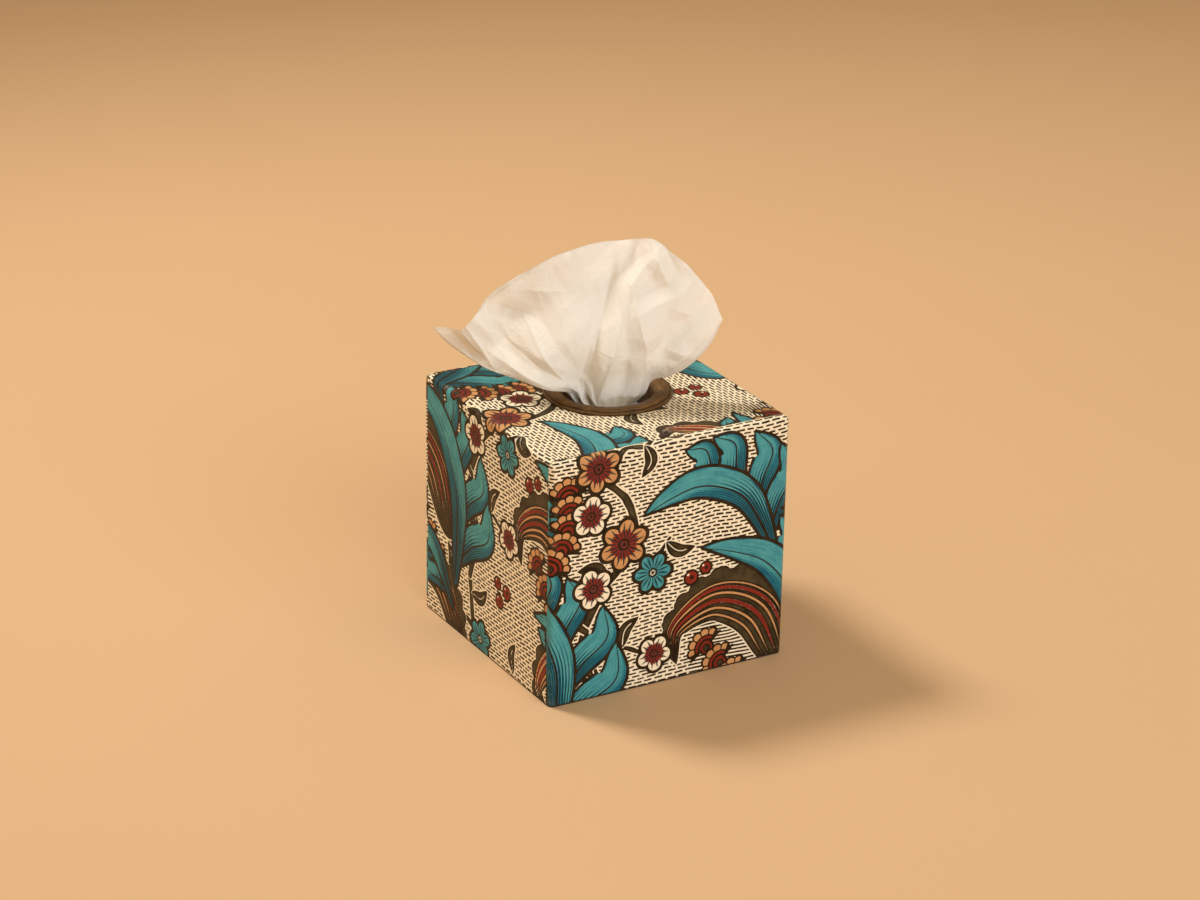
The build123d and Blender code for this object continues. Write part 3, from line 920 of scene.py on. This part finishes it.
def printed_paper():
    """Pasted paper under varnish. The ground is rows of dashes laid like bricks, worked out on
    the developed sheet; the motifs are its fields, each inked where its distance, roughened by
    a little noise, is below nought; fine strokes follow the phase across a leaf. The colours
    are streaked along the leaves, and the ink is dry in places."""
    paper = Finish("printed_paper", Coat_Weight=0.03, Coat_Roughness=0.25, Specular_IOR_Level=0.10)
    flat = paper.flat()
    s, t, _ = paper.parts(flat)
    drift = paper.noise(flat, 0.03, 1)
    wobble = paper.noise(flat, 0.35, 2)
    grain = paper.noise(flat, 1.6, 3, 0.65)
    blot = paper.noise(flat, 0.11, 3, 0.6)
    row = (t + drift * 5.0 + wobble * 0.55) / ROW
    line = row.floor()
    shift = paper.node("TexWhiteNoise", {"noise_dimensions": "1D"}, {"W": line})
    brick = (s + drift * 7.0 + wobble * 0.7) / BRICK + line * 0.5 + shift * 0.22
    which = brick.floor()
    luck = paper.node("TexWhiteNoise", {"noise_dimensions": "2D"}, {"Vector": paper.joined(which, line, 0.0)})
    joined = paper.grid("lines").below(0.0, 0.3)
    high = abs(row - line - 0.5) * ROW - HALF_HIGH - luck * 0.12 + grain * 0.22
    long = abs(brick - which - 0.5) * BRICK * (1 - joined) - HALF_LONG - luck * 0.5 + grain * 0.3
    dash = high.most(long).below(0.0, 0.16) * paper.grid("ground").below(0.0, 0.2)

    # faded, hand-blocked colour
    cream = paper.mix(blot + 0.5, CREAM, CREAM_WARM)
    brown = paper.mix((grain * 1.2 + blot * 1.2 + 0.35).held(), BROWN, tone(68, 47, 22))
    colour = paper.mix(dash, cream, brown)
    phase = paper.grid("phase") + wobble * 0.12
    streak = paper.noise(paper.joined(phase * 1.7, s * 0.05, t * 0.05), 1.0, 3, 0.65)
    for name, first, second, spill in COLOURS:
        edge = paper.grid(name) + grain * 0.8 + wobble * 0.5 + streak * 0.5
        tint = paper.mix((grain * 1.3 + blot * 1.6 + streak * 2.4 + 0.38).held(), first, second)
        colour = paper.mix(edge.below(spill, 0.22), colour, tint)
    stroke = (abs(phase - phase.floor() - 0.5) * 2 + grain * 0.5).below(paper.grid("strength"), 0.12)
    stroke = stroke * paper.grid("strength").maths("GREATER_THAN", 0.03)
    colour = paper.mix(stroke * 0.9, colour, tone(22, 40, 42))
    ink = (paper.grid("ink") + grain * 0.35).below(0.0, 0.18)
    dry = (paper.grid("ink") + 0.9).below(0.0, 0.8) * (grain * 1.8 + blot * 1.5 + 0.45).held()
    colour = paper.mix(ink, colour, paper.mix(dry * 0.8, brown, tone(96, 82, 54)))

    # handling: slightly rubbed where the paper turns the edges
    x, y, z = paper.parts(paper.place())
    past_x, past_y = abs(x) - CORE, abs(y) - CORE
    bend = past_x.held() * past_y.held()
    crown = (z - (TOP - 3.4)).held() * past_x.most(past_y).held()
    worn = (bend.most(crown) * 0.7 * (grain * 2.2 + blot * 1.6 - 0.1)).held()
    colour = paper.mix(worn * 0.8, colour, tone(226, 196, 150))
    paper.put(Base_Color=colour, Roughness=0.44 + blot * 0.16 + grain * 0.1 - ink * 0.05)
    weave = paper.noise(flat, 2.6, 4, 0.7)
    wrinkle = paper.noise(flat, 0.06, 2, 0.45)
    relief = weave * 0.05 + wrinkle * 1.0 + (ink + dash) * 0.03
    paper.put(Normal=paper.bump(relief, 0.0009, 0.55))
    return paper.material


def brushed_paint():
    """Bronze-brown paint on the turned ring, brushed round it: noise that hardly changes with
    the angle and changes fast along the section, with flecks in it. Painted shade darkens it
    in the hollow beside the crown and down the throat."""
    ring = Finish("brushed_paint", Coat_Weight=0.04, Coat_Roughness=0.35, Specular_IOR_Level=0.22)
    place = ring.place()
    x, y, z = ring.parts(place)
    x, y = x - float(HOLE[0]), y - float(HOLE[1])
    radius = (x * x + y * y).power(0.5)
    run = ring.grid("run")
    round_it = ring.joined(x / radius * 5.0, y / radius * 5.0, run * 1.6)
    strokes = ring.noise(round_it, 1.0, 4, 0.65)
    blot = ring.noise(place, 0.12, 3, 0.6)
    # painted shade: the hollow beside the crown is darkened where shade falls in it
    groove_shade = abs(radius - GROOVE).below(0.4, 0.5) * (z - TOP).below(2.2, 0.6)
    # painted shade: the ring is darker down the throat, where shade falls inside the hole
    throat = radius.below(THROAT, 3.0)
    fleck = ring.noise(place, 1.3, 3, 0.7)
    thin = (strokes * 2.6 + fleck * 1.4 + blot * 1.2 + 0.45).held()
    colour = ring.mix(thin, tone(62, 40, 14), tone(130, 90, 42))
    colour = ring.mix(groove_shade * 0.8, colour, tone(32, 19, 7))
    colour = ring.mix(throat * 0.7, colour, tone(44, 28, 15))
    ring.put(Base_Color=colour, Roughness=0.46 + strokes * 0.25,
             Normal=ring.bump(strokes + blot * 0.6, 0.0006, 0.7))
    return ring.material


def painted_board():
    """Fibreboard: fine speckled fibre inside, dark brown brushed paint on the outside and on
    the foot, with a little of it rubbed off the foot's corners."""
    board = Finish("painted_board", Specular_IOR_Level=0.3)
    place = board.place()
    x, y, z = board.parts(place)
    fibre = board.noise(place, 1.1, 4, 0.75)
    cloud = board.noise(place, 0.05, 2)
    raw = board.mix((fibre * 1.6 + cloud + 0.5).held(), tone(150, 116, 80), tone(182, 148, 108))
    dark = board.mix((fibre + 0.5).held(), tone(34, 24, 16), tone(60, 44, 28))
    outside = (HALF - 0.6 - abs(x).most(abs(y))).below(0.0, 0.3)
    foot = (z + fibre * 1.6).below(1.4, 0.5)
    rubbed = (fibre * 2.5 + cloud * 2.0 - 0.4).held() * foot
    colour = board.mix(outside.most(foot) * (1 - rubbed * 0.6), raw, dark)
    board.put(Base_Color=colour, Roughness=0.72 + fibre * 0.2,
              Normal=board.bump(fibre, 0.0004, 0.5))
    return board.material


def folding_card():
    """Plain boxboard: coated white outside, grey-brown inside with flecks."""
    card = Finish("folding_card", Specular_IOR_Level=0.35)
    place = card.place()
    x, y, z = card.parts(place)
    fleck = card.noise(place, 1.8, 4, 0.8)
    cloud = card.noise(place, 0.08, 2)
    wall, _, lid = packed("carton")[1]
    inside = abs(x).most(abs(y)).below(wall - 0.3, 0.1) * z.below(lid - 0.25, 0.1) * (1 - z.below(1.2, 0.1))
    white = card.mix((fleck + cloud + 0.5).held(), tone(226, 222, 212), tone(238, 235, 228))
    grey = card.mix((fleck * 2 + 0.5).held(), tone(150, 138, 120), tone(178, 166, 148))
    card.put(Base_Color=card.mix(inside, white, grey), Roughness=0.62 + fleck * 0.15,
             Normal=card.bump(fleck + cloud, 0.0003, 0.5))
    return card.material


def clear_film():
    """Thin clear film, with faint stress whitening round its slit."""
    film = Finish("clear_film", Roughness=0.12, Specular_IOR_Level=0.5)
    place = film.place()
    cloud = film.noise(place, 0.09, 3)
    x, y, _ = film.parts(place)
    x, y = x - float(HOLE[0]), y - float(HOLE[1])
    stress = (abs(x) * 0.4 + abs(y)).below(9.0, 5.0)
    colour = film.mix((cloud + 0.5 + stress * 0.4).held(), tone(214, 220, 224), tone(240, 243, 245))
    film.put(Base_Color=colour, Alpha=(0.26 + stress * 0.25 + cloud * 0.1).held(),
             Normal=film.bump(cloud, 0.002, 0.6))
    return film.material


def soft_tissue(name, folded=False):
    """Two-ply tissue: warm white, matt, letting some light through. Its bump is fine fibre, a
    light crepe across the sheet and thin crinkles. Folded, its leaves have painted shade between them."""
    soft = Finish(name, Roughness=0.95, Specular_IOR_Level=0.05)
    place = soft.place()
    fibre = soft.noise(place, 1.5, 5, 0.75)
    cloud = soft.noise(place, 0.07, 3, 0.55)
    if folded:
        leaves = (soft.grid("depth") * 1.9 + cloud * 0.8).fract()
        # painted shade: the gaps between the folded leaves are darkened where shade falls between them
        gap = (abs(leaves - 0.5) * 2).below(0.35, 0.4)
        colour = soft.mix(gap * 0.5, tone(240, 231, 216), tone(196, 180, 158))
        soft.put(Base_Color=colour, Normal=soft.bump(fibre * 0.3 - gap, 0.0005, 0.8))
        return soft.material
    flat = soft.flat()
    u, v, _ = soft.parts(flat)
    crepe = soft.noise(soft.joined(u * 0.5, v * 3.0, 0.0), 1.0, 3, 0.6)
    wide, narrow = soft.noise(flat, 0.11, 2, 0.5), soft.noise(flat, 0.16, 1, 0.5)
    crinkle = abs(wide).least(abs(narrow - 0.02))
    relief = fibre * 0.5 + crepe * 0.4 + crinkle * 3.5
    colour = soft.mix((cloud * 1.2 + fibre * 0.5 + 0.5).held(), tone(255, 252, 245), tone(254, 249, 238))
    soft.put(Base_Color=colour, Normal=soft.bump(relief, 0.0005, 0.6))
    glow = soft.node("BsdfTranslucent", None, {"Color": tone(255, 246, 230)})
    through = soft.node("MixShader", None, {0: LET_THROUGH, 1: soft.shader.outputs[0], 2: glow})
    soft.tree.links.new(through.socket, soft.tree.nodes["Material Output"].inputs[0])
    return soft.material


def floor_finish():
    """Plain pale floor. What the camera sees of it is its own colour with the object's shadow."""
    ground = Finish("pale_floor", Roughness=0.9, Specular_IOR_Level=0.1)
    cloud = ground.noise(ground.place(), 0.004, 2)
    colour = ground.mix((cloud + 0.5).held(), tone(212, 173, 130), tone(215, 176, 134))
    ground.put(Base_Color=colour)
    return ground.material


# the pieces

paper_finish = printed_paper()
front = face_paper("printed_front", side=-1, print_left=75, print_foot=0)
back = face_paper("printed_back", side=1, print_left=20, print_foot=95)
wrap = round_paper("printed_wrap", print_left=40, print_foot=150)
for paper, node in ((front, "front_paper"), (back, "back_paper"), (wrap, "wrap_paper")):
    finish_piece(paper, paper_finish, "printed_paper", node)
ring = turned("moulded_ring", ring_profile() + [0, TOP], turns=220, centre=HOLE)
finish_piece(ring, brushed_paint(), "painted_wood", "rim_ring")

board_finish = painted_board()
for node in ("top_board", "front_board", "back_board", "left_board", "right_board"):
    dress(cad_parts[node], board_finish)
dress(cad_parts["carton"], folding_card())
dress(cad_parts["dispensing_film"], clear_film())


def folded_stack():
    """The clip of folded sheets, bent over: a section of depth by height with rounded top
    corners, carried along the carton, its skin rippled by the folds' edges."""
    low, high = (np.array(corner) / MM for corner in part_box("tissue_stack"))
    half, foot, crown, bend = high[1], low[2], high[2], 46.0
    outline = np.vstack([
        [[0.9, foot], [half - 1, foot]],
        np.stack([np.full(40, half), np.linspace(foot + 1, crown - bend, 40)], -1),
        arc((half - bend, crown - bend), bend, 0, 90, 40),
        [[0.0, crown]],
    ])
    outline = np.vstack([outline, outline[:-1][::-1] * [-1, 1]])
    middle = np.array([0.0, (foot + crown) / 2])
    ends = np.concatenate([np.linspace(0, 1, 12), np.ones(28), np.linspace(1, 0, 12)])
    stations = np.concatenate([np.full(12, low[0]), np.linspace(low[0], high[0], 28), np.full(12, high[0])])
    around, lengthwise = np.meshgrid(run_along(outline), stations)
    ripple = 0.25 * value_noise(around / 2.2, lengthwise / 30 + 4, 11)
    scale = (1 - 0.9 * (1 - ends))[:, None] * (1 - 0.004 * (1 + ripple))
    section = middle + (outline - middle) * scale[..., None]
    spots = np.concatenate([lengthwise[..., None] * 0.998, section], -1)
    depth = np.repeat((1 - ends)[:, None] * half, len(outline), 1)
    return skin("folded_stack", spots, {"depth": depth})


finish_piece(folded_stack(), soft_tissue("folded_tissue", True), "tissue_paper", "tissue_stack")

tissue_finish = soft_tissue("soft_tissue")
for ply, name in ((0, "tissue_front_ply"), (1, "tissue_back_ply")):
    spots, flat = sheet_spots(columns=360, rows=220, ply=ply)
    piece = skin(name, spots, {}, flat)
    finish_piece(piece, tissue_finish, "tissue_paper", "tissue")


# floor, light and camera

bpy.ops.mesh.primitive_grid_add(x_subdivisions=2, y_subdivisions=2, size=30)
floor = bpy.context.object
floor.name = "floor"
floor.data.materials.append(floor_finish())

sky = bpy.data.worlds.new("studio")
scene.world = sky
sky.use_nodes = True
background = sky.node_tree.nodes["Background"].inputs
background["Color"].default_value = tone(255, 230, 190)
background["Strength"].default_value = 0.46


def put_lamp(light, at, towards):
    """Places a lamp so that it shines at a point."""
    holder = bpy.data.objects.new(light.name, light)
    scene.collection.objects.link(holder)
    back = np.array(at, float) - towards
    back /= np.linalg.norm(back)
    right = np.cross([0, 0, 1], back)
    right /= np.linalg.norm(right)
    turn = np.stack([right, np.cross(back, right), back], -1)
    holder.matrix_world = Matrix.Translation(at) @ Matrix(turn.tolist()).to_4x4()


key = bpy.data.lights.new("key", "SPOT")
key.energy = 246
key.color = (1.0, 0.985, 0.955)
key.shadow_soft_size = 0.36
key.spot_size = math.radians(60)
key.spot_blend = 1.0
put_lamp(key, at=(-0.92, 1.52, 2.42), towards=(0.20, -0.06, 0.0))

fill = bpy.data.lights.new("fill", "AREA")
fill.size = 3.0
fill.energy = 75
fill.color = (0.91, 1.0, 1.12)
put_lamp(fill, at=(0.0, -3.0, 1.25), towards=(0, 0, 0.08))

# Camera, fitted to the cover's outline, near upright and front top edge in the photo: its
# place in metres, and how far round the part, above it and about its own axis it is turned
CAMERA_AT = (-0.8819, -1.5199, 0.8448)
ROUND, ABOVE, ROLL = math.radians(-30.05), math.radians(22.774), math.radians(1.023)

view = bpy.data.cameras.new("view")
view.sensor_width = 36.0
view.lens = 105.47
view.clip_end = 100
camera = bpy.data.objects.new("view", view)
scene.collection.objects.link(camera)
back_dir = np.array([math.sin(ROUND) * math.cos(ABOVE), -math.cos(ROUND) * math.cos(ABOVE), math.sin(ABOVE)])
right_dir = np.array([math.cos(ROUND), math.sin(ROUND), 0.0])
up_dir = np.cross(back_dir, right_dir)
level = math.cos(ROLL) * right_dir + math.sin(ROLL) * up_dir
upright = math.cos(ROLL) * up_dir - math.sin(ROLL) * right_dir
turn = Matrix(np.stack([level, upright, back_dir], -1).tolist())
camera.matrix_world = Matrix.Translation(CAMERA_AT) @ turn.to_4x4()
scene.camera = camera
